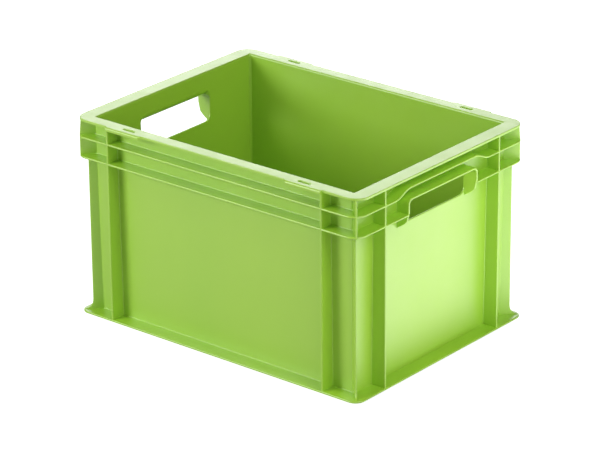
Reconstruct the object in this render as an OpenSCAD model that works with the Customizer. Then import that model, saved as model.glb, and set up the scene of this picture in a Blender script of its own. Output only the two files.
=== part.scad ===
// Stacking plastic crate: thin drafted walls inside a flat top rim, two ribs round
// the upper edge, upright stiffeners, corner fins, a base flange and two grip hoods.
// Origin at the centre of the footprint, on the plane that the foot stands on.
// The long walls face -Y and +Y, the end walls with the hand-holds face -X and +X.

/* [Crate] */
// Overall length across the rim
crate_l = 400; // [390:5:600]
// Overall width across the rim
crate_w = 300; // [290:5:400]
// Overall height from the foot to the top of the rim
crate_h = 240; // [200:5:320]
// Radius of the rim's and the ribs' corners in plan, measured at the rim's edge
corner_r = 16.5; // [14:0.5:20]

/* [Walls and floor] */
// Set-back of the walls' outer faces at the top
wall_inset_top = 17; // [16:0.5:18]
// Set-back of the walls' outer faces at the base flange
wall_inset_base = 19.6; // [18.6:0.2:20]
// Thickness of the walls
wall_t = 2.4; // [2:0.1:3]
// Thickness of the floor panel
floor_t = 3; // [2:0.5:3]

/* [Top rim] */
// Thickness of the flat rim
rim_t = 3; // [2:0.2:4]
// Step back of the rim's outer edge along each long side
rim_step = 3.5; // [1:0.5:5]
// Distance from the crate's middle to the bosses round the slots, which reach full width
rim_step_x = 104; // [90:1:106]
// Length of the slots for a clip-on lid's hinge pins
slot_l = 16.5; // [10:0.5:20]
// Width of those slots
slot_w = 4; // [3:0.5:6]
// Distance from the crate's middle to a slot's centre
slot_x = 123; // [118:1:128]
// Set-back of a slot's centre from the rim's edge
slot_inset = 9; // [8:0.5:11]

/* [Horizontal ribs] */
// Thickness of the two ribs that run round the crate
rail_t = 2.4; // [2:0.1:3]
// Set-back of their outer edge from the rim's edge
rail_inset = 1.5; // [1:0.1:3]
// Depth of the upper rib's middle plane below the top
rail_drop = 21; // [19:0.5:24]
// Distance between the two ribs
rail_pitch = 23; // [21:0.5:25]
// Rise of the upper rib where it passes over a hand-hold
rail_rise = 7.8; // [6:0.2:8]

/* [Upright ribs and corner fins] */
// Thickness of the upright ribs
rib_t = 2.5; // [2:0.1:3]
// Distance from the crate's corner to the middle of an upright rib
rib_from_corner = 50; // [44:1:54]
// Thickness of the corner fins
fin_t = 2.5; // [2:0.1:3]
// Set-back of a fin's outer edge below the lower rib, measured along X and along Y
fin_inset = 12; // [10:0.5:13]
// Height over which a fin flares out to the base flange
fin_flare_h = 12; // [8:1:16]

/* [Base] */
// Height of the base flange's underside above the ground
flange_z = 8; // [6:0.5:10]
// Thickness of the base flange
flange_t = 2.6; // [2:0.1:4]
// Set-back of its outer edge from the rim's edge
flange_inset = 1; // [1:0.5:4]
// Radius of the flange's corners, measured at the rim's edge
flange_corner_r = 13; // [10:0.5:20]
// Set-back of the foot, so that it drops inside the rim of the crate below
foot_inset = 20.6; // [20.6:0.2:22]
// Width of the foot's ring
foot_w = 3.6; // [3:0.2:5]

/* [Hand-holds] */
// Half the clear width of a hand-hold
grip_half_w = 58.5; // [48:0.5:60]
// Depth of the hood's underside below the top
grip_drop = 28.2; // [27:0.2:30]
// Depth of the hand-hold's lower edge below the top
grip_sill_drop = 60; // [56:1:70]
// Thickness of the hood
hood_t = 2.6; // [2:0.1:3]
// Radius of the hand-hold's lower corners
sill_r = 8; // [4:1:12]
// Radius of the finger roll under the hood, on the inside of the wall
roll_r = 7; // [4:0.5:8]

/* [Hidden] */
$fn = 64;
half_l = crate_l / 2;
half_w = crate_w / 2;
rim_z = crate_h - rim_t;
flange_top = flange_z + flange_t;
floor_z = 2;
upper_z = crate_h - rail_drop;
lower_z = upper_z - rail_pitch;
grip_top = crate_h - grip_drop;
sill_z = crate_h - grip_sill_drop;
roll_top = grip_top + roll_r;
hood_top_r = 7.5;
ramp_start = 2.5;
ramp_run = 26.5;
ramp_in = grip_half_w - ramp_start;
ramp_out = ramp_in + ramp_run;
leg_end = sill_z - 2;
step_run = 6;
fin_under_h = 5;
rail_under_z = lower_z - rail_t / 2;
wall_zone = 40;
curve_steps = 10;
far = crate_l;

front = 0;
right = 1;
back = 2;
left = 3;

body_green = [0.50, 0.74, 0.16];
shade_green = [0.42, 0.66, 0.14];
rim_green = [0.74, 0.86, 0.42];

// Set-back of the walls' outer faces at a height
function wall_inset(z) = wall_inset_base
    + (wall_inset_top - wall_inset_base) * (z - flange_z) / (crate_h - flange_z);

// Easing from 0 to 1 with level ends
function ease(t) = (1 - cos(180 * min(1, max(0, t)))) / 2;

// Middle plane of an end wall's upper rib, at a distance from the wall's middle
function upper_rib_z(y) = upper_z
    + rail_rise * (1 - ease((abs(y) - ramp_in) / (ramp_out - ramp_in)));

// Plan outline with round corners, set back from the rim's edge; side_step is a
// further set-back of the long sides
module outline(inset, edge_r, side_step) {
    w = crate_w - 2 * side_step;
    square([crate_l - 2 * inset, w - 2 * edge_r], center = true);
    square([crate_l - 2 * edge_r, w - 2 * inset], center = true);
    for (sx = [-1, 1], sy = [-1, 1])
        translate([sx * (half_l - edge_r), sy * (w / 2 - edge_r)]) circle(r = edge_r - inset);
}

module plate(inset, edge_r, z, t) {
    translate([0, 0, z]) linear_extrude(t) outline(inset, edge_r, 0);
}

// Prism along X or Y whose sides follow the walls' draft
module drafted_prism(half, extra, z0, z1) {
    rotate([90, 0, 0])
        linear_extrude(2 * far, center = true)
            polygon([
                [wall_inset(z0) + extra - half, z0],
                [half - wall_inset(z0) - extra, z0],
                [half - wall_inset(z1) - extra, z1],
                [wall_inset(z1) + extra - half, z1]
            ]);
}

// Drafted block that the walls wrap round; extra = wall_t gives the hollow
module drafted_block(extra, z0, z1) {
    intersection() {
        drafted_prism(half_l, extra, z0, z1);
        rotate([0, 0, 90]) drafted_prism(half_w, extra, z0, z1);
    }
}

// Rectangular block, set back from the rim's edge
module plain_block(inset, z0, z1) {
    translate([inset - half_l, inset - half_w, z0])
        cube([crate_l - 2 * inset, crate_w - 2 * inset, z1 - z0]);
}

// Places a child made for the front or right side on any side
module on_side(side) {
    if (side == back) mirror([0, 1, 0]) children();
    else if (side == left) mirror([1, 0, 0]) children();
    else children();
}

// Keeps what lies on one side of the crate, mitred at the corners
module one_side(side) {
    e = 20;
    intersection() {
        children();
        on_side(side) translate([0, 0, -e]) linear_extrude(crate_h + 2 * e)
            if (side == front || side == back)
                polygon([
                    [-half_l - e, -half_w - e], [half_l + e, -half_w - e],
                    [half_l - half_w, 0], [half_w - half_l, 0]
                ]);
            else
                polygon([
                    [half_l + e, -half_w - e], [half_l + e, half_w + e],
                    [half_l - half_w, 0]
                ]);
    }
}

// Outline in a wall's plane with separate radii at the bottom and the top
module grip_outline(half, z0, z1, r0, r1) {
    translate([-half, z0 + r0]) square([2 * half, z1 - z0 - r0 - r1]);
    translate([r0 - half, z0]) square([2 * (half - r0), z1 - z0 - r1]);
    translate([r1 - half, z0 + r0]) square([2 * (half - r1), z1 - z0 - r0]);
    for (s = [-1, 1]) {
        translate([s * (half - r0), z0 + r0]) circle(r = r0);
        translate([s * (half - r1), z1 - r1]) circle(r = r1);
    }
}

// Extrudes an outline drawn in (y, z) through the +X wall, between two x values
module across_wall(x0, x1) {
    translate([x0, 0, 0]) rotate([90, 0, 90]) linear_extrude(x1 - x0) children();
}

module floor_panel() {
    color(shade_green) plain_block(foot_inset + foot_w, floor_z, floor_z + floor_t);
}

module foot(side) {
    color(shade_green) one_side(side)
        difference() {
            plain_block(foot_inset, 0, flange_z);
            plain_block(foot_inset + foot_w, -1, flange_z + 1);
        }
}

module base_flange(side) {
    color(body_green) one_side(side)
        difference() {
            plate(flange_inset, flange_corner_r, flange_z, flange_t);
            drafted_block(0, flange_z - 1, flange_top + 1);
        }
}

module wall(side) {
    color(body_green) one_side(side)
        difference() {
            drafted_block(0, flange_z, rim_z);
            drafted_block(wall_t, flange_z - 1, crate_h);
        }
}

module end_wall(side) {
    color(body_green) difference() {
        wall(side);
        on_side(side) across_wall(half_l - wall_zone, half_l)
            grip_outline(grip_half_w, sill_z, roll_top, sill_r, roll_r);
    }
}

// Flat rim; on the long sides it reaches full width only at the bosses round the slots
module rim(side) {
    color(rim_green) one_side(side)
        difference() {
            translate([0, 0, rim_z]) linear_extrude(rim_t) {
                outline(0, corner_r, rim_step);
                for (turn = [0, 180], s = [-1, 1]) rotate([0, 0, turn]) rim_boss(s);
            }
            drafted_block(wall_t, rim_z - 1, crate_h + 1);
            for (long_side = [front, back], s = [-1, 1])
                on_side(long_side) translate([s * slot_x, slot_inset - half_w, 0]) rim_slot();
        }
}

module rim_slot() {
    r = slot_w / 2;
    translate([0, 0, rim_z - 1]) linear_extrude(rim_t + 2) {
        square([slot_l - slot_w, slot_w], center = true);
        for (s = [-1, 1]) translate([s * (slot_l / 2 - r), 0]) circle(r = r);
    }
}

// Boss outline on the front edge, from an eased step to an upright rib; s is its end.
// The points run counter-clockwise at both ends.
module rim_boss(s) {
    steps = 6;
    boss_end = half_l - rib_from_corner + rib_t / 2;
    boss_start = rim_step_x - step_run;
    root = 1.5 * rim_step - half_w;
    points = concat(
        [[boss_start, root]],
        [for (i = [0 : steps]) let (t = i / steps)
            [boss_start + step_run * t, rim_step * (1 - ease(t)) - half_w]],
        [[boss_end, -half_w], [boss_end, root]]
    );
    last = len(points) - 1;
    polygon([for (i = [0 : last]) let (p = points[s > 0 ? i : last - i]) [s * p[0], p[1]]]);
}

// What the horizontal ribs stop against
module rib_stops() {
    drafted_block(0, flange_z, crate_h);
    for (side = [front, right, back, left], s = [-1, 1]) upright_slab(side, s, 2);
    for (sx = [-1, 1], sy = [-1, 1])
        at_corner(sx, sy) fin_slab() translate([-wall_zone, sill_z]) square([wall_zone, crate_h - sill_z]);
}

module rail_ring(z) {
    plate(rail_inset, corner_r, z - rail_t / 2, rail_t);
}

module rib(side, z) {
    color(body_green) one_side(side)
        difference() {
            rail_ring(z);
            rib_stops();
        }
}

module end_lower_rib(side) {
    color(body_green) difference() {
        rib(side, lower_z);
        on_side(side) across_wall(half_l - wall_zone, half_l + 1)
            translate([-grip_half_w - hood_t, sill_z])
                square([2 * (grip_half_w + hood_t), crate_h - sill_z]);
    }
}

// Upper rib of an end wall: level, then up and over the hand-hold
module end_upper_rib(side) {
    steps = 16;
    ys = concat(
        [-half_w],
        [for (i = [0 : steps]) -ramp_out + (ramp_out - ramp_in) * i / steps],
        [for (i = [0 : steps]) ramp_in + (ramp_out - ramp_in) * i / steps],
        [half_w]
    );
    count = len(ys);
    color(body_green) one_side(side)
        difference() {
            intersection() {
                plate(rail_inset, corner_r, lower_z, rim_z - lower_z);
                on_side(side) across_wall(half_l - wall_zone, half_l)
                    polygon(concat(
                        [for (y = ys) [y, upper_rib_z(y) - rail_t / 2]],
                        [for (i = [count - 1 : -1 : 0]) [ys[i], upper_rib_z(ys[i]) + rail_t / 2]]
                    ));
            }
            rib_stops();
        }
}

// Slab of an upright rib on the +X face of a block; proud = how far it passes the edge
module upright_blank(half, from_middle, proud) {
    x_out = half - rail_inset + proud;
    translate([0, from_middle + rib_t / 2, 0]) rotate([90, 0, 0]) linear_extrude(rib_t)
        polygon([
            [half - wall_inset(flange_top), flange_top],
            [x_out, flange_top],
            [x_out, rim_z],
            [half - wall_inset(rim_z), rim_z]
        ]);
}

module upright_slab(side, s, proud) {
    on_side(side)
        if (side == front || side == back)
            rotate([0, 0, -90]) upright_blank(half_w, s * (half_l - rib_from_corner), proud);
        else
            upright_blank(half_l, s * (half_w - rib_from_corner), proud);
}

module upright(side, s) {
    color(body_green) upright_slab(side, s, 0);
}

// Turns a child drawn outwards along +X, from 0 at the rim's corner, into a corner's diagonal
module at_corner(sx, sy) {
    translate([sx * half_l, sy * half_w, 0]) rotate([0, 0, atan2(sy, sx)]) children();
}

module fin_slab() {
    rotate([90, 0, 0]) linear_extrude(fin_t, center = true) children();
}

// Outermost point of a rounded corner, as its set-back from the rim's corner along X
function corner_inset(inset, edge_r) = inset + (edge_r - inset) * (1 - sqrt(0.5));

module corner_fin(sx, sy) {
    steps = 8;
    rail_edge = corner_inset(rail_inset, corner_r);
    flange_edge = corner_inset(flange_inset, flange_corner_r);
    rim_edge = corner_inset(0, corner_r) + 0.6 * rim_step;
    root_inset = wall_inset_base + wall_t;
    profile = concat(
        [[root_inset, flange_top]],
        [for (i = [0 : steps]) let (t = i / steps)
            [flange_edge + (fin_inset - flange_edge) * sqrt(t * (2 - t)),
             flange_top + fin_flare_h * t]],
        [for (i = [0 : steps]) let (t = i / steps)
            [rail_edge + (fin_inset - rail_edge) * sqrt(1 - t * t),
             rail_under_z - fin_under_h * (1 - t)]],
        [[rail_edge, upper_z + rail_t / 2], [rim_edge, rim_z], [root_inset, rim_z]]
    );
    color(body_green) difference() {
        at_corner(sx, sy) fin_slab() polygon([for (p = profile) [-p[0] * sqrt(2), p[1]]]);
        drafted_block(0, flange_z, crate_h);
    }
}

// Hood over a hand-hold: an upturned U outside the wall, with the finger roll inside
module grip_hood(side) {
    color(body_green) on_side(side) {
        hood_flange();
        finger_roll();
    }
}

module hood_flange() {
    x_out = half_l - rail_inset;
    x_face = half_l - wall_inset(leg_end);
    root = x_face - wall_t;
    below = leg_end - sill_r;
    difference() {
        intersection() {
            across_wall(root, x_out)
                difference() {
                    grip_outline(grip_half_w + hood_t, below, grip_top + hood_t, 1, hood_top_r);
                    grip_outline(grip_half_w, below - sill_r, grip_top, 1, hood_top_r - hood_t);
                }
            rotate([90, 0, 0]) linear_extrude(crate_w, center = true)
                polygon(concat(
                    [[root, leg_end], [root, crate_h], [x_out, crate_h]],
                    [for (i = [0 : curve_steps]) let (t = i / curve_steps)
                        [x_out - (x_out - x_face) * t * t,
                         rail_under_z + (leg_end - rail_under_z) * t]]
                ));
        }
        drafted_block(0, flange_z, crate_h);
    }
}

// Round-nosed bar that closes the wall above the hand-hold
module finger_roll() {
    inner = half_l - wall_inset(roll_top) - wall_t;
    difference() {
        intersection() {
            across_wall(half_l - wall_zone, half_l)
                difference() {
                    grip_outline(grip_half_w, sill_z, roll_top, sill_r, roll_r);
                    grip_outline(grip_half_w, sill_z - sill_r, grip_top, 1, hood_top_r - hood_t);
                }
            rotate([90, 0, 0]) linear_extrude(crate_w, center = true)
                polygon(concat(
                    [[half_l, grip_top]],
                    [for (i = [0 : curve_steps]) let (a = 90 * i / curve_steps)
                        [inner + roll_r * (1 - sin(a)), roll_top - roll_r * cos(a)]],
                    [[inner - 2, roll_top + 1], [half_l, roll_top + 1]]
                ));
            drafted_block(0, sill_z, crate_h);
        }
        drafted_block(wall_t, sill_z - 1, crate_h + 1);
    }
}

floor_panel();
foot(front);  // front_foot
foot(right);  // right_foot
foot(back);  // back_foot
foot(left);  // left_foot
base_flange(front);  // front_base_flange
base_flange(right);  // right_base_flange
base_flange(back);  // back_base_flange
base_flange(left);  // left_base_flange
wall(front);  // front_wall
end_wall(right);  // right_end_wall
wall(back);  // back_wall
end_wall(left);  // left_end_wall
rib(front, lower_z);  // front_lower_rib
end_lower_rib(right);  // right_lower_rib
rib(back, lower_z);  // back_lower_rib
end_lower_rib(left);  // left_lower_rib
rib(front, upper_z);  // front_upper_rib
end_upper_rib(right);  // right_upper_rib
rib(back, upper_z);  // back_upper_rib
end_upper_rib(left);  // left_upper_rib
upright(front, -1);  // front_upright_left
upright(front, 1);  // front_upright_right
upright(back, -1);  // back_upright_left
upright(back, 1);  // back_upright_right
upright(right, -1);  // right_upright_front
upright(right, 1);  // right_upright_back
upright(left, -1);  // left_upright_front
upright(left, 1);  // left_upright_back
corner_fin(-1, -1);  // corner_fin_front_left
corner_fin(1, -1);  // corner_fin_front_right
corner_fin(1, 1);  // corner_fin_back_right
corner_fin(-1, 1);  // corner_fin_back_left
grip_hood(right);  // right_grip_hood
grip_hood(left);  // left_grip_hood
rim(front);  // front_rim
rim(right);  // right_rim
rim(back);  // back_rim
rim(left);  // left_rim
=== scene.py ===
"""Looks of the stacking plastic crate: every region of the moulding as its own mesh, with
rounded lips and filleted roots, one satin polypropylene material and a soft studio.
The crate's lengths are in millimetres until a point is placed in the frame, in metres."""

from math import atan2, cos, pi, radians, sin, sqrt, tan

import bmesh
import bpy
from mathutils import Matrix, Vector
from mathutils.geometry import tessellate_polygon


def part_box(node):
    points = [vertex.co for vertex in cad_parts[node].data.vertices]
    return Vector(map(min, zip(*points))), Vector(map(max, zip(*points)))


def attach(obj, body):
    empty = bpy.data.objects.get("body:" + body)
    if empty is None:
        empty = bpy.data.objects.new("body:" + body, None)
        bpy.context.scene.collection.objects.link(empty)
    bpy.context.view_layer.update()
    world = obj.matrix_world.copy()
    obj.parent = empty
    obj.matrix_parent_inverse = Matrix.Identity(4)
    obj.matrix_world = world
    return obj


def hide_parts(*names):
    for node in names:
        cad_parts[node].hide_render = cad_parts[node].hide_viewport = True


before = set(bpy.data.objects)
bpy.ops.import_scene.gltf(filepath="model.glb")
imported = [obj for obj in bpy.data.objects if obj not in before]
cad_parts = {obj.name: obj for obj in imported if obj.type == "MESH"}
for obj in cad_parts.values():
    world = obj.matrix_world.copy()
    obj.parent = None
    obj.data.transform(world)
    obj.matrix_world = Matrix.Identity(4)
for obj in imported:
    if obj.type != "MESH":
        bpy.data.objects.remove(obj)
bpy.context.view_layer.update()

# ---- Sizes, in millimetres: taken from the frame, then a few of the moulding's own ----

MM = 0.001


def box_mm(node):
    low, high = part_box(node)
    return low / MM, high / MM


rim_low, rim_high = box_mm("front_rim")
TOP, RIM_Z = rim_high.z, rim_low.z
HALF_L, HALF_W = box_mm("right_rim")[1].x, -rim_low.y

rail_low, rail_high = box_mm("front_upper_rib")
RAIL_INSET = HALF_W + rail_low.y
RAIL_T = rail_high.z - rail_low.z
UPPER_Z = (rail_high.z + rail_low.z) / 2
LOWER_Z = sum(corner.z for corner in box_mm("front_lower_rib")) / 2
RAIL_RISE = box_mm("right_upper_rib")[1].z - rail_high.z

flange_low, flange_high = box_mm("front_base_flange")
FLANGE_INSET = HALF_W + flange_low.y
FLANGE_Z, FLANGE_TOP = flange_low.z, flange_high.z
FOOT_INSET = HALF_W + box_mm("front_foot")[0].y
floor_low, floor_high = box_mm("floor_panel")
FLOOR_INSET = HALF_W + floor_low.y

hood_low, hood_high = box_mm("right_grip_hood")
LEG_END, ROLL_TOP = hood_low.z, hood_high.z

WALL_T = 2.4
HOOD_T = 2.6
RIB_T = 2.5
WALL_INSET_TOP = HALF_W + box_mm("front_wall")[0].y
WALL_INSET_BASE = FOOT_INSET - 1

# Hand-hold: its half width, the roll over its top and its sill
GRIP_HALF = hood_high.y - HOOD_T
ROLL_R = 7.0
ROLL_STOP = 6.0         # from the roll's last full section to the corner
GRIP_TOP = ROLL_TOP - ROLL_R
SILL_Z = LEG_END + 2
SILL_R = 8.0
HOOD_INNER_R = 4.9
LEAST_STAND = 0.2       # how far a hood's leg still stands out where it ends
RAMP_IN, RAMP_OUT = GRIP_HALF - 2.5, GRIP_HALF + 24    # where the upper rib climbs over it

# Outer radii of the corners in plan
CORNER_R = 22.0         # walls, floor and foot
RAIL_CORNER_R = 16.5    # rim and ribs
FLANGE_CORNER_R = 13.0
LEAST_R = 1.0           # left when an outline is set far back

# Rim: a long side's edge is set back by a step, save at the bosses round its slots
RIM_STEP, RIM_STEP_X, RIM_STEP_RUN = 3.5, 104.0, 6.0
BOSS_END, BOSS_RUN = 150.4, 0.8
BOSS_DROP, BOSS_LIP_T = 1.5, 2.2     # a lip hangs from a boss, deeper than the rim
BOSS_ROUND, BOSS_LIP_ROUND = 1.6, 0.4
RIM_ROUND = 0.6
SLOT_L, SLOT_W, SLOT_X, SLOT_INSET = 16.5, 4.0, 123.0, 9.0
SLOT_FLARE = 0.7
CUT_PAST = 1.0          # how far the slots' cutter passes the rim

# Corner fin: its set-back, and the heights over which it flares out below and above
FIN_INSET = 12.0
FIN_FLARE, FIN_UNDER = 12.0, 5.0
FIN_RIM_SHARE = 0.6     # share of the rim's step that its top is set back
FIN_ROOT, FIN_BURY = 1.0, 3.0    # how deep its fillet ends and its root is sunk

FOOT_ROUND = 1.0
FLOOR_FILLET = 6.0
LIP_R = 1.05            # rounding of a thin edge
ROOT_R = 0.8            # fillet where a rib grows out of a wall
EDGE_R = 0.9            # rounding round a hand-hold
INNER_R = 2.0           # rounding from the rim's top into the crate
BURY = 1.2              # how far a root is sunk into its wall
OVERLAP = 0.6           # how far an upright runs into the flange and the rim
SEAT_OVERLAP = 1.0      # the same for the foot and the floor's edge

ARC_STEPS = 4
CORNER_STEPS = 8
RAMP_STEPS = 14
LEG_STEPS = 8
FIN_STEPS = 8
RIM_STEPS, BOSS_STEPS = 6, 3
FILLET_STEPS = 6
SLOT_POINTS = 24

MERGE_DISTANCE, TINY_EDGE = 2e-6, 1e-6    # metres
SHARP_ANGLE = 40                          # degrees

# Half depth, half run and turn of each side, seen from outside with s running left to right
SIDES = {
    "front": (HALF_W, HALF_L, 0),
    "right": (HALF_L, HALF_W, pi / 2),
    "back": (HALF_W, HALF_L, pi),
    "left": (HALF_L, HALF_W, 3 * pi / 2),
}
END_SIDES = ("right", "left")


def wall_inset(z):
    """Set-back of the walls' outer faces at a height."""
    share = (z - FLANGE_Z) / (RIM_Z - FLANGE_Z)
    return WALL_INSET_BASE + (WALL_INSET_TOP - WALL_INSET_BASE) * share


def ease(t):
    """0 to 1 with level ends."""
    return (1 - cos(pi * min(1, max(0, t)))) / 2


def shares(steps):
    """Even shares from 0 to 1."""
    return [k / steps for k in range(steps + 1)]


def quarter_turn(steps=ARC_STEPS):
    """Angles from 0 to a quarter turn."""
    return [pi / 2 * k / steps for k in range(steps + 1)]


def both_ways(spots):
    """Spots right of a side's middle, and the same left of it."""
    return [-s for s in spots[::-1]] + spots


def place(side, s, inset, z):
    """World point, in metres, of a local one on a side."""
    half, _, turn = SIDES[side]
    x, y = s, inset - half
    return Vector((x * cos(turn) - y * sin(turn), x * sin(turn) + y * cos(turn), z)) * MM


def to_flat(side, point):
    """A world point as (s, z) on its side, in metres."""
    turn = SIDES[side][2]
    return Vector((point.x * cos(turn) + point.y * sin(turn), point.z, 0))


# ---- Outlines and stations ----


def rounded(corners, steps=ARC_STEPS):
    """Closed outline through corners (u, v, radius), each turned by an arc."""
    points = [Vector(c[:2]) for c in corners]
    outline = []
    for i, corner in enumerate(corners):
        radius = corner[2] if len(corner) > 2 else 0
        at = points[i]
        if not radius:
            outline.append(tuple(at))
            continue
        before = (points[i - 1] - at).normalized()
        after = (points[(i + 1) % len(points)] - at).normalized()
        half = before.angle(after) / 2
        centre = at + (before + after).normalized() * radius / sin(half)
        start = at + before * radius / tan(half) - centre
        end = at + after * radius / tan(half) - centre
        turn = atan2(start.cross(end), start.dot(end))
        for share in shares(steps):
            a = turn * share
            outline.append((
                centre.x + start.x * cos(a) - start.y * sin(a),
                centre.y + start.x * sin(a) + start.y * cos(a),
            ))
    return outline


def corner_station(run, end, phi, corner_r):
    """Station on a rounded corner: its s, and a function from a set-back to (s, inset)."""

    def locate(inset):
        r = max(corner_r - inset, LEAST_R)
        return end * (run - inset - r + r * sin(phi)), inset + r * (1 - cos(phi))

    return end * run, locate


def straight_station(s):
    """The same on the straight, where a set-back needs no turning."""
    return s, lambda inset: (s, inset)


CORNER_TURNS = [pi / 4 * (1 - share) for share in shares(CORNER_STEPS)]    # mitre to straight


def corner_stations(side, end, corner_r=CORNER_R):
    """Stations of one corner, from the mitre to the straight."""
    run = SIDES[side][1]
    return [corner_station(run, end, phi, corner_r) for phi in CORNER_TURNS]


def side_stations(side, spots=(), corner_r=CORNER_R):
    """Stations of a whole side, mitre to mitre, with extra ones at the spots."""
    return (
        corner_stations(side, -1, corner_r)
        + [straight_station(s) for s in spots]
        + corner_stations(side, 1, corner_r)[::-1]
    )


def swept(side, stations, profile):
    """Rings of world points: profile(s) is a closed outline of (inset, z)."""
    rings = []
    for s, locate in stations:
        rings.append([place(side, *locate(inset), z) for inset, z in profile(s)])
    return rings


# ---- Meshes ----


def skin(bm, rings):
    """Joins closed rings one after another and gives back their vertices."""
    rows = [[bm.verts.new(p) for p in ring] for ring in rings]
    count = len(rows[0])
    for a, b in zip(rows, rows[1:]):
        for i in range(count):
            j = (i + 1) % count
            bm.faces.new((a[i], a[j], b[j], b[i]))
    return rows


def loft(bm, rings):
    """Skins closed rings and caps both ends."""
    rows = skin(bm, rings)
    bm.faces.new(rows[0][::-1])
    bm.faces.new(rows[-1])


def new_piece(name, bm):
    """Turns a bmesh into a shown object with clean, outward, smooth faces."""
    bmesh.ops.remove_doubles(bm, verts=bm.verts, dist=MERGE_DISTANCE)
    bmesh.ops.dissolve_degenerate(bm, edges=bm.edges, dist=TINY_EDGE)
    bmesh.ops.recalc_face_normals(bm, faces=bm.faces)
    mesh = bpy.data.meshes.new(name)
    bm.to_mesh(mesh)
    bm.free()
    piece = bpy.data.objects.new(name, mesh)
    bpy.context.scene.collection.objects.link(piece)
    return piece


def finish_piece(piece, node):
    """Smooth shading, material, and the piece's place in the frame."""
    piece.data.shade_smooth()
    piece.data.set_sharp_from_angle(angle=radians(SHARP_ANGLE))
    weighted = piece.modifiers.new("weighted_normals", "WEIGHTED_NORMAL")
    weighted.keep_sharp = True
    piece.data.materials.append(plastic)
    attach(piece, "root")
    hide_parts(node)


def lofted_piece(node, *lofts):
    """A node's piece, made of one or more lofts."""
    bm = bmesh.new()
    for rings in lofts:
        loft(bm, rings)
    return new_piece(node + "_skin", bm)


def cut(piece, cutter):
    """Takes the cutter out of the piece."""
    boolean = piece.modifiers.new("cut", "BOOLEAN")
    boolean.operation = "DIFFERENCE"
    boolean.solver = "EXACT"
    boolean.object = cutter
    evaluated = piece.evaluated_get(bpy.context.evaluated_depsgraph_get())
    mesh = bpy.data.meshes.new_from_object(evaluated)
    piece.modifiers.clear()
    uncut, piece.data = piece.data, mesh
    mesh.name = uncut.name
    bpy.data.meshes.remove(uncut)
    bpy.data.meshes.remove(cutter.data)


# ---- The moulding's regions ----


def rib_profile(z, nose_inset, t):
    """Section of a horizontal rib: a round nose and a filleted root."""
    face = wall_inset(z)
    high, low = z + t / 2, z - t / 2
    return rounded([
        (nose_inset, high, LIP_R), (nose_inset, low, LIP_R),
        (face, low, ROOT_R), (face, low - ROOT_R), (face + BURY, low - ROOT_R),
        (face + BURY, high + ROOT_R), (face, high + ROOT_R), (face, high, ROOT_R),
    ])


def upper_rib_z(side, s):
    """Middle plane of the upper rib; an end wall's rises over its hand-hold."""
    if side not in END_SIDES:
        return UPPER_Z
    return UPPER_Z + RAIL_RISE * (1 - ease((abs(s) - RAMP_IN) / (RAMP_OUT - RAMP_IN)))


def upper_rib(side):
    spots = ()
    if side in END_SIDES:
        spots = both_ways([RAMP_IN + (RAMP_OUT - RAMP_IN) * share for share in shares(RAMP_STEPS)])

    def profile(s):
        return rib_profile(upper_rib_z(side, s), RAIL_INSET, RAIL_T)

    stations = side_stations(side, spots, RAIL_CORNER_R)
    return lofted_piece(side + "_upper_rib", swept(side, stations, profile))


def lower_rib(side):
    """The lower rib; on an end wall, two halves that stop inside the hood's legs."""
    if side in END_SIDES:
        stop = GRIP_HALF + HOOD_T / 2
        runs = [
            corner_stations(side, end, RAIL_CORNER_R) + [straight_station(end * stop)]
            for end in (-1, 1)
        ]
    else:
        runs = [side_stations(side, (), RAIL_CORNER_R)]
    profile = rib_profile(LOWER_Z, RAIL_INSET, RAIL_T)
    lofts = [swept(side, stations, lambda _: profile) for stations in runs]
    return lofted_piece(side + "_lower_rib", *lofts)


def base_flange(side):
    face = wall_inset(FLANGE_TOP)
    profile = rounded([
        (FLANGE_INSET, FLANGE_TOP, LIP_R), (FLANGE_INSET, FLANGE_Z, LIP_R),
        (face + BURY, FLANGE_Z), (face + BURY, FLANGE_TOP + ROOT_R),
        (face, FLANGE_TOP + ROOT_R), (face, FLANGE_TOP, ROOT_R),
    ])
    stations = side_stations(side, (), FLANGE_CORNER_R)
    return lofted_piece(side + "_base_flange", swept(side, stations, lambda _: profile))


def foot(side):
    """The frame below the flange that drops inside the rim of another crate."""
    profile = rounded([
        (FOOT_INSET, 0, FOOT_ROUND), (FLOOR_INSET, 0, FOOT_ROUND),
        (FLOOR_INSET, FLANGE_Z + SEAT_OVERLAP), (FOOT_INSET, FLANGE_Z + SEAT_OVERLAP),
    ])
    return lofted_piece(side + "_foot", swept(side, side_stations(side), lambda _: profile))


def wall_profile(_):
    """Section of a wall, the same all along."""
    return [
        (wall_inset(RIM_Z), RIM_Z), (wall_inset(RIM_Z) + WALL_T, RIM_Z),
        (wall_inset(FLANGE_Z) + WALL_T, FLANGE_Z), (wall_inset(FLANGE_Z), FLANGE_Z),
    ]


def long_wall(side):
    return lofted_piece(side + "_wall", swept(side, side_stations(side), wall_profile))


def grip_stations():
    """Right half of a hand-hold's clear outline from the top's middle down to the sill's
    corner: (s, z, outward s, outward z, roll radius)."""
    cs, cz = GRIP_HALF - HOOD_INNER_R, GRIP_TOP - HOOD_INNER_R
    stations = [(s, GRIP_TOP, 0, 1, ROLL_R) for s in (0, cs / 2, cs - ROLL_STOP)]
    for share in shares(CORNER_STEPS):
        a = pi / 2 * (1 - share)
        roll = EDGE_R + (ROLL_R - EDGE_R) * ease(1 - share)
        stations.append((
            cs + HOOD_INNER_R * cos(a), cz + HOOD_INNER_R * sin(a), cos(a), sin(a), roll,
        ))
    for z in (LOWER_Z + RAIL_T, SILL_Z + SILL_R):
        stations.append((GRIP_HALF, z, 1, 0, EDGE_R))
    return stations


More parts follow.
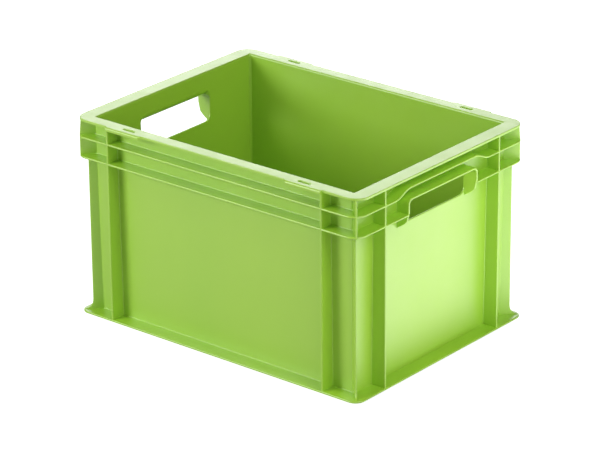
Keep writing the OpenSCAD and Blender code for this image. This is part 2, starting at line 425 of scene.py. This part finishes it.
def sill_stations():
    """From the bottom right corner's start to the sill's middle."""
    cs, cz = GRIP_HALF - SILL_R, SILL_Z + SILL_R
    stations = []
    for a in quarter_turn(CORNER_STEPS):
        stations.append((cs + SILL_R * cos(a), cz - SILL_R * sin(a), cos(a), -sin(a), 0))
    return stations + [(cs / 2, SILL_Z, 0, -1, 0)]


def mirrored(stations):
    """The same stations on the left half."""
    return [(-s, z, -us, uz, r) for s, z, us, uz, r in stations]


def grip_lining(bm, side):
    """Lining of a hand-hold: all round, one ring of vertices across the wall's thickness."""
    edge = [(EDGE_R * (1 - sin(a)), EDGE_R * (1 - cos(a))) for a in quarter_turn()]
    edge += [(out, WALL_T - depth) for out, depth in edge[::-1]]
    upper, sill = grip_stations(), sill_stations()
    around = [(station, False) for station in mirrored(upper)[:0:-1] + upper]
    around += [(station, True) for station in sill + mirrored(sill)[::-1]]
    lining = []
    for (s, z, us, uz, roll), is_sill in around:
        ring = []
        for rounding, depth in edge:
            out = rounding if is_sill else roll
            at_z = z + out * uz
            inset = wall_inset(at_z) + WALL_T - depth
            ring.append(bm.verts.new(place(side, s + out * us, inset, at_z)))
        lining.append(ring)
    for a, b in zip(lining, lining[1:] + lining[:1]):
        for i in range(len(edge) - 1):
            bm.faces.new((a[i], a[i + 1], b[i + 1], b[i]))
    return lining


def end_wall(side):
    """Wall slab with its hand-hold cut clear and the sill's edges rounded."""
    bm = bmesh.new()
    for end in (-1, 1):
        rows = skin(bm, swept(side, corner_stations(side, end), wall_profile))
        bm.faces.new(rows[0])

    lining = grip_lining(bm, side)
    reach = SIDES[side][1] - CORNER_R
    corners = [(-reach, FLANGE_Z), (reach, FLANGE_Z), (reach, RIM_Z), (-reach, RIM_Z)]
    sheets = []
    for index, depth in ((0, WALL_T), (-1, 0)):
        sheet = [bm.verts.new(place(side, s, wall_inset(z) + depth, z)) for s, z in corners]
        hole = [ring[index] for ring in lining]
        flat = [[to_flat(side, v.co) for v in group] for group in (sheet, hole)]
        every = sheet + hole
        for triangle in tessellate_polygon(flat):
            bm.faces.new([every[i] for i in triangle])
        sheets.append(sheet)
    inner, outer = sheets
    for i, j in ((0, 1), (2, 3)):
        bm.faces.new((inner[i], inner[j], outer[j], outer[i]))
    return new_piece(side + "_end_wall_skin", bm)


def hood_ring(side, station, lip_inset, open_leg):
    """Section of the hood at one station; an open leg stands on the wall's face only."""
    s, z, us, uz, roll = station

    def at_inset(out, inset):
        return place(side, s + out * us, inset, z + out * uz)

    def at_depth(out, depth):
        return at_inset(out, wall_inset(z + out * uz) + WALL_T - depth)

    face = wall_inset(z)
    lip = min(lip_inset, face - LEAST_STAND)
    nose = min(LIP_R, (face - lip) / 2)
    root = min(ROOT_R, (face - lip) / 2)
    ring = []
    for a in quarter_turn(ARC_STEPS * 2):
        if open_leg:
            ring.append(at_depth(0, WALL_T / 2))
        else:
            ring.append(at_depth(roll * (1 - sin(a)), roll * (1 - cos(a))))
    for turn, centre in ((0, nose), (pi / 2, HOOD_T - nose)):
        for a in quarter_turn():
            out, depth = centre - nose * cos(turn + a), nose * (1 - sin(turn + a))
            ring.append(at_inset(out, lip + depth))
    for a in quarter_turn():
        ring.append(at_inset(HOOD_T + root * (1 - cos(a)), face - root * (1 - sin(a))))
    if roll > HOOD_T + root:
        ring.append(at_depth(roll, WALL_T))
    else:
        ring.append(at_depth(HOOD_T + root, WALL_T / 2))
    return ring


def leg_lip(z):
    """Set-back of the lip of a hood's leg, which sinks into the wall down to the leg's end."""
    under = LOWER_Z - RAIL_T / 2
    share = (under - z) / (under - LEG_END)
    return RAIL_INSET + (wall_inset(LEG_END) - RAIL_INSET) * share * share


def grip_hood(side):
    """The upturned U over a hand-hold: rolled inside, lipped outside, legs dying away."""
    *upper, last = grip_stations()
    start = SILL_Z + SILL_R
    half = [(station, RAIL_INSET, False) for station in upper]
    half.append((last, leg_lip(start), False))
    for share in shares(LEG_STEPS):
        z = start + (LEG_END - start) * share
        half.append(((GRIP_HALF, z, 1, 0, EDGE_R), leg_lip(z), True))
    stations, lips, legs = zip(*half)
    other = list(zip(mirrored(stations), lips, legs))
    rings = [hood_ring(side, *entry) for entry in other[:0:-1] + half]
    return lofted_piece(side + "_grip_hood", rings)


def upright(side, name):
    """A rib from the flange up to the rim, with its node."""
    node = side + "_upright_" + name
    middle = (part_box(node)[0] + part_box(node)[1]) / 2
    s0 = to_flat(side, middle).x / MM

    def ring(z):
        face = wall_inset(z)
        half = RIB_T / 2
        outline = rounded([
            (-half, RAIL_INSET, LIP_R), (half, RAIL_INSET, LIP_R),
            (half, face, ROOT_R), (half + ROOT_R, face), (half + ROOT_R, face + BURY),
            (-half - ROOT_R, face + BURY), (-half - ROOT_R, face), (-half, face, ROOT_R),
        ])
        return [place(side, s0 + s, inset, z) for s, inset in outline]

    return node, lofted_piece(node, [ring(FLANGE_TOP - OVERLAP), ring(RIM_Z + OVERLAP)])


def corner_reach(inset, corner_r=CORNER_R):
    """Set-back of a rounded corner's outermost point, measured along X."""
    return inset + max(corner_r - inset, 0) * (1 - sqrt(0.5))


def fin_edge():
    """Heights up a corner fin with the set-back of its outer edge along X."""
    rail = corner_reach(RAIL_INSET, RAIL_CORNER_R)
    flange = corner_reach(FLANGE_INSET, FLANGE_CORNER_R)
    under = LOWER_Z - RAIL_T / 2
    edge = [(FLANGE_TOP - OVERLAP, flange)]
    for share in shares(FIN_STEPS):
        out = flange + (FIN_INSET - flange) * sin(pi / 2 * share)
        edge.append((FLANGE_TOP + FIN_FLARE * share * share, out))
    for share in shares(FIN_STEPS):
        lean = cos(pi / 2 * share)
        edge.append((under - FIN_UNDER * lean, rail + (FIN_INSET - rail) * lean))
    edge.append((UPPER_Z + RAIL_T / 2, rail))
    rim_edge = corner_reach(0, RAIL_CORNER_R) + FIN_RIM_SHARE * RIM_STEP
    edge.append((RIM_Z + OVERLAP, rim_edge))
    return edge


def corner_fin(sx, sy):
    """The upright fin on one corner, standing out along the diagonal, with its node."""
    name = ("front" if sy < 0 else "back") + ("_left" if sx < 0 else "_right")
    node = "corner_fin_" + name
    half = RIB_T / 2
    rings = []
    for z, edge in fin_edge():
        root = corner_reach(wall_inset(z)) * sqrt(2)
        side_root, deep_root = root + FIN_ROOT, root + FIN_BURY
        outline = rounded([
            (-half, edge * sqrt(2), LIP_R), (half, edge * sqrt(2), LIP_R),
            (half, root, ROOT_R), (half + ROOT_R, side_root), (half + ROOT_R, deep_root),
            (-half - ROOT_R, deep_root), (-half - ROOT_R, side_root), (-half, root, ROOT_R),
        ])
        ring = []
        for across, deep in outline:
            x = HALF_L - (deep - across) / sqrt(2)
            y = HALF_W - (deep + across) / sqrt(2)
            ring.append(Vector((sx * x, sy * y, z)) * MM)
        rings.append(ring)
    return node, lofted_piece(node, rings)


def boss_share(s):
    """1 on the stretches round the slots, where a long side's rim reaches out."""
    outer = ease((BOSS_END + BOSS_RUN - abs(s)) / BOSS_RUN)
    return ease((abs(s) - RIM_STEP_X + RIM_STEP_RUN) / RIM_STEP_RUN) * outer


def corner_step(side, phi):
    """Set-back of the rim's edge round a corner, from the end's none to the long side's."""
    lean = sin(phi) if side in END_SIDES else cos(phi)
    across = RIM_STEP**2 * (1 - lean * lean)
    return RAIL_CORNER_R + RIM_STEP * lean - sqrt(RAIL_CORNER_R**2 - across)


def rim_profile(step, boss):
    """Section of the rim with its edge set back by a step; boss is 1 at a boss, else 0."""
    face, inner = wall_inset(RIM_Z), wall_inset(RIM_Z) + WALL_T
    low, back = RIM_Z - BOSS_DROP * boss, step + BOSS_LIP_T
    return rounded([
        (step, TOP, RIM_ROUND + BOSS_ROUND * boss), (inner, TOP, INNER_R), (inner, RIM_Z),
        (face + BURY, RIM_Z), (face + BURY, RIM_Z - ROOT_R), (face, RIM_Z - ROOT_R),
        (face, RIM_Z, ROOT_R), (back, RIM_Z), (back, low, BOSS_LIP_ROUND * boss),
        (step, low, RIM_ROUND),
    ])


def rim_rings(side):
    """Rings of one side's rim, mitre to mitre."""
    run = SIDES[side][1]

    def corner(end):
        return [
            (corner_station(run, end, phi, RAIL_CORNER_R), corner_step(side, phi), 0)
            for phi in CORNER_TURNS
        ]

    if side in END_SIDES:
        spots = [run - RAIL_CORNER_R - RIM_STEP]
        straight = [(straight_station(s), 0, 0) for s in both_ways(spots)]
    else:
        spots = [RIM_STEP_X - RIM_STEP_RUN * (1 - share) for share in shares(RIM_STEPS)]
        spots += [BOSS_END + BOSS_RUN * share for share in shares(BOSS_STEPS)]
        straight = [
            (straight_station(s), RIM_STEP * (1 - boss_share(s)), boss_share(s))
            for s in both_ways(spots)
        ]
    rings = []
    for (_, locate), step, boss in corner(-1) + straight + corner(1)[::-1]:
        profile = rim_profile(step, boss)
        rings.append([place(side, *locate(inset), z) for inset, z in profile])
    return rings


def slot_ring(side, middle, r, z):
    """A circle drawn apart to a slot's outline."""
    reach = (SLOT_L - SLOT_W) / 2
    ring = []
    for k in range(SLOT_POINTS):
        a = 2 * pi * k / SLOT_POINTS
        across = round(cos(a), 6)
        s = middle + reach * ((across > 0) - (across < 0))
        ring.append(place(side, s + r * cos(a), SLOT_INSET + r * sin(a), z))
    return ring


def slot_cutter(side):
    """Both slots of a rim, with softly flared tops."""
    levels = [(RIM_Z - CUT_PAST, 0), (TOP - SLOT_FLARE, 0)]
    for a in quarter_turn()[1:]:
        levels.append((TOP - SLOT_FLARE * (1 - sin(a)), SLOT_FLARE * (1 - cos(a))))
    levels.append((TOP + CUT_PAST, 2 * SLOT_FLARE))
    bm = bmesh.new()
    for middle in (-SLOT_X, SLOT_X):
        loft(bm, [slot_ring(side, middle, SLOT_W / 2 + flare, z) for z, flare in levels])
    return new_piece("slot_cutter", bm)


def rim(side):
    """One side's rim, with the lid's slots in a long one."""
    piece = lofted_piece(side + "_rim", rim_rings(side))
    if side not in END_SIDES:
        cut(piece, slot_cutter(side))
    return piece


def floor_panel():
    """Floor with a fillet running up into the walls, as closed loops from below to above."""
    top = floor_high.z

    def loop(inset, z):
        ring = []
        for side in SIDES:
            ring += [place(side, *locate(inset), z) for _, locate in side_stations(side)][:-1]
        return ring

    inner = wall_inset(top + FLOOR_FILLET) + WALL_T
    loops = [loop(FLOOR_INSET - SEAT_OVERLAP, floor_low.z)]
    for z in (FLANGE_Z + SEAT_OVERLAP, top + FLOOR_FILLET):
        loops.append(loop(inner - BURY, z))
    for a in quarter_turn(FILLET_STEPS):
        inset, z = inner + FLOOR_FILLET * (1 - cos(a)), top + FLOOR_FILLET * (1 - sin(a))
        loops.append(loop(inset, z))
    return lofted_piece("floor_panel", loops)


# ---- Material ----

BODY_GREEN = (0.37, 0.64, 0.035)
DEEP_GREEN = (0.34, 0.615, 0.031)
SCUFF_GREEN = (0.45, 0.66, 0.16)
SCUFF_SHARE = 0.25
ROUGHNESS, ROUGHNESS_VARIES = 0.42, 0.04
BUMP_STRENGTH, BUMP_DISTANCE = 0.12, 0.0002

# Noise scale, detail and stretch per axis
FLOW_MARKS = (9, 2, (1, 1, 0.35))
SCUFFS = (60, 5, (1, 1, 9))
HAZE = (45, 4, (1, 1, 1))
GRAIN = (1400, 2, (1, 1, 1))
MIDDLE = (0.3, 0.7)     # where most of a noise's values lie
PEAKS = (0.66, 0.8)     # where few of them lie

MIX_FACTOR, MIX_A, MIX_B, MIX_RESULT = 0, 6, 7, 2    # a colour mix node's sockets


def set_sockets(node, **numbers):
    """Sets sockets by name, with _ for a space."""
    for name, number in numbers.items():
        node.inputs[name.replace("_", " ")].default_value = number


def make_plastic():
    """Satin injection-moulded polypropylene: faint flow marks, fine grain, small scuffs."""
    material = bpy.data.materials.new("crate_polypropylene")
    material.use_nodes = True
    nodes, links = material.node_tree.nodes, material.node_tree.links
    shader = nodes["Principled BSDF"]
    set_sockets(shader, IOR=1.49, Specular_IOR_Level=1.0, Coat_Weight=0.8, Coat_Roughness=0.45)
    coords = nodes.new("ShaderNodeTexCoord")

    def noise(scale, detail, stretch):
        mapping = nodes.new("ShaderNodeMapping")
        texture = nodes.new("ShaderNodeTexNoise")
        set_sockets(mapping, Scale=stretch)
        set_sockets(texture, Scale=scale, Detail=detail)
        links.new(coords.outputs["Object"], mapping.inputs["Vector"])
        links.new(mapping.outputs["Vector"], texture.inputs["Vector"])
        return texture.outputs["Fac"]

    def spread(value, source, target):
        node = nodes.new("ShaderNodeMapRange")
        set_sockets(
            node, From_Min=source[0], From_Max=source[1], To_Min=target[0], To_Max=target[1]
        )
        links.new(value, node.inputs["Value"])
        return node.outputs["Result"]

    def mix(factor, a, b):
        node = nodes.new("ShaderNodeMix")
        node.data_type = "RGBA"
        for socket, colour in ((MIX_A, a), (MIX_B, b)):
            if isinstance(colour, tuple):
                node.inputs[socket].default_value = (*colour, 1)
            else:
                links.new(colour, node.inputs[socket])
        links.new(factor, node.inputs[MIX_FACTOR])
        return node.outputs[MIX_RESULT]

    body = mix(spread(noise(*FLOW_MARKS), MIDDLE, (0, 1)), DEEP_GREEN, BODY_GREEN)
    colour = mix(spread(noise(*SCUFFS), PEAKS, (0, SCUFF_SHARE)), body, SCUFF_GREEN)
    links.new(colour, shader.inputs["Base Color"])
    gloss = (ROUGHNESS - ROUGHNESS_VARIES, ROUGHNESS + ROUGHNESS_VARIES)
    links.new(spread(noise(*HAZE), MIDDLE, gloss), shader.inputs["Roughness"])

    bump = nodes.new("ShaderNodeBump")
    set_sockets(bump, Strength=BUMP_STRENGTH, Distance=BUMP_DISTANCE)
    links.new(noise(*GRAIN), bump.inputs["Height"])
    links.new(bump.outputs["Normal"], shader.inputs["Normal"])
    return material


plastic = make_plastic()

# ---- Build ----

finish_piece(floor_panel(), "floor_panel")
for side in SIDES:
    finish_piece(foot(side), side + "_foot")
    finish_piece(base_flange(side), side + "_base_flange")
    if side in END_SIDES:
        finish_piece(end_wall(side), side + "_end_wall")
        finish_piece(grip_hood(side), side + "_grip_hood")
    else:
        finish_piece(long_wall(side), side + "_wall")
    finish_piece(lower_rib(side), side + "_lower_rib")
    finish_piece(upper_rib(side), side + "_upper_rib")
    finish_piece(rim(side), side + "_rim")
    for name in ("front", "back") if side in END_SIDES else ("left", "right"):
        node, piece = upright(side, name)
        finish_piece(piece, node)
for sx in (-1, 1):
    for sy in (-1, 1):
        node, piece = corner_fin(sx, sy)
        finish_piece(piece, node)

# ---- Studio ----

WHITE = (1, 1, 1, 1)
PAPER_GREY = (0.6, 0.6, 0.6, 1)
CARD_WHITE = (0.9, 0.9, 0.9, 1)
PAPER_ROUGHNESS = 0.9
PAPER_STRENGTH, GLOW_STRENGTH, WORLD_STRENGTH = 0.03, 0.95, 0.02
PAPER_Z, GLOW_Z, CARD_Z = -1.0, -0.5, 0.0
SHEET_SIZE, SHEET_CELLS = 6, 8    # half width in metres

# Bounce card: name, x, y and half width in metres, strength
END_CARD = ("end_card", 0.82, 0.46, 0.58, 1.7)

# Softboxes: name, azimuth, elevation, size in metres, power in watts
LIGHT_DISTANCE = 2.2
SOFTBOXES = (
    ("end_key", 95, 15, 1.2, 3),
    ("end_high", 82, 47, 1.2, 19),
    ("front_key", -32, 20, 0.8, 27),
    ("front_high", -30, 55, 1.2, 7),
    ("rear_left", -140, 20, 1.2, 15.5),
    ("near_corner", 60, 10, 1.2, 9),
)

# Camera: fitted to the photo's edges, in degrees, metres and, for the lens, millimetres
VIEW_AZIMUTH, VIEW_ELEVATION, VIEW_ROLL = 39.53, 22.43, -0.5
VIEW_DISTANCE, VIEW_ASIDE, VIEW_UP = 3.654, 0.0001, -0.00459
TARGET_Z = 0.110
SENSOR, LENS = 36, 197.8
CLIP_NEAR, CLIP_FAR = 0.1, 50


def stage_sheet(name, z, size=SHEET_SIZE):
    """Level sheet at a height in millimetres, with its material's node tree."""
    bm = bmesh.new()
    bmesh.ops.create_grid(bm, x_segments=SHEET_CELLS, y_segments=SHEET_CELLS, size=size)
    bmesh.ops.translate(bm, verts=bm.verts, vec=(0, 0, z * MM))
    sheet = new_piece(name, bm)
    material = bpy.data.materials.new(name + "_paper")
    material.use_nodes = True
    sheet.data.materials.append(material)
    return sheet, material.node_tree


def stage_floor():
    """Pale paper, and just above it a thin white glow that lights nothing."""
    _, tree = stage_sheet("studio_floor", PAPER_Z)
    set_sockets(
        tree.nodes["Principled BSDF"],
        Base_Color=PAPER_GREY, Roughness=PAPER_ROUGHNESS,
        Emission_Color=WHITE, Emission_Strength=PAPER_STRENGTH,
    )

    glow, tree = stage_sheet("studio_glow", GLOW_Z)
    tree.nodes.remove(tree.nodes["Principled BSDF"])
    clear = tree.nodes.new("ShaderNodeBsdfTransparent")
    white = tree.nodes.new("ShaderNodeEmission")
    both = tree.nodes.new("ShaderNodeAddShader")
    set_sockets(white, Strength=GLOW_STRENGTH)
    tree.links.new(clear.outputs["BSDF"], both.inputs[0])
    tree.links.new(white.outputs["Emission"], both.inputs[1])
    tree.links.new(both.outputs["Shader"], tree.nodes["Material Output"].inputs["Surface"])
    glow.visible_diffuse = glow.visible_glossy = glow.visible_shadow = False


def bounce_card(name, x, y, size, strength):
    """Bright card lying on the floor, mirrored in a wall and out of the camera's sight."""
    card, tree = stage_sheet(name, CARD_Z, size)
    card.location = (x, y, 0)
    set_sockets(
        tree.nodes["Principled BSDF"],
        Base_Color=CARD_WHITE, Emission_Color=WHITE, Emission_Strength=strength,
    )
    card.visible_camera = False


def direction_from(azimuth, elevation):
    """Unit vector out from the crate; azimuth 0 is the front and turns towards the right."""
    return Vector((
        sin(azimuth) * cos(elevation), -cos(azimuth) * cos(elevation), sin(elevation),
    ))


def softbox(name, azimuth, elevation, size, power):
    """Square light that looks at the crate's middle."""
    direction = direction_from(radians(azimuth), radians(elevation))
    light = bpy.data.lights.new(name, "AREA")
    light.shape = "RECTANGLE"
    light.size = light.size_y = size
    light.energy = power
    lamp = bpy.data.objects.new(name, light)
    lamp.rotation_mode = "QUATERNION"
    lamp.rotation_quaternion = direction.to_track_quat("Z", "Y")
    lamp.location = direction * LIGHT_DISTANCE + Vector((0, 0, TOP / 2)) * MM
    bpy.context.scene.collection.objects.link(lamp)


def make_world():
    world = bpy.data.worlds.new("studio")
    world.use_nodes = True
    set_sockets(world.node_tree.nodes["Background"], Color=WHITE, Strength=WORLD_STRENGTH)
    bpy.context.scene.world = world
    bpy.context.scene.view_settings.view_transform = "Standard"


def make_camera():
    """Long lens from above the front right corner."""
    azimuth, elevation, roll = (
        radians(angle) for angle in (VIEW_AZIMUTH, VIEW_ELEVATION, VIEW_ROLL)
    )
    back = direction_from(azimuth, elevation)
    level = Vector((cos(azimuth), sin(azimuth), 0))
    rise = back.cross(level)
    right = level * cos(roll) + rise * sin(roll)
    up = rise * cos(roll) - level * sin(roll)
    data = bpy.data.cameras.new("camera")
    data.sensor_width = SENSOR
    data.lens = LENS
    data.clip_start, data.clip_end = CLIP_NEAR, CLIP_FAR
    camera = bpy.data.objects.new("camera", data)
    at = Vector((0, 0, TARGET_Z)) - right * VIEW_ASIDE - up * VIEW_UP + back * VIEW_DISTANCE
    turned = Matrix((right, up, back)).transposed()
    camera.matrix_world = Matrix.Translation(at) @ turned.to_4x4()
    bpy.context.scene.collection.objects.link(camera)
    bpy.context.scene.camera = camera


stage_floor()
bounce_card(*END_CARD)
for box in SOFTBOXES:
    softbox(*box)
make_world()
make_camera()
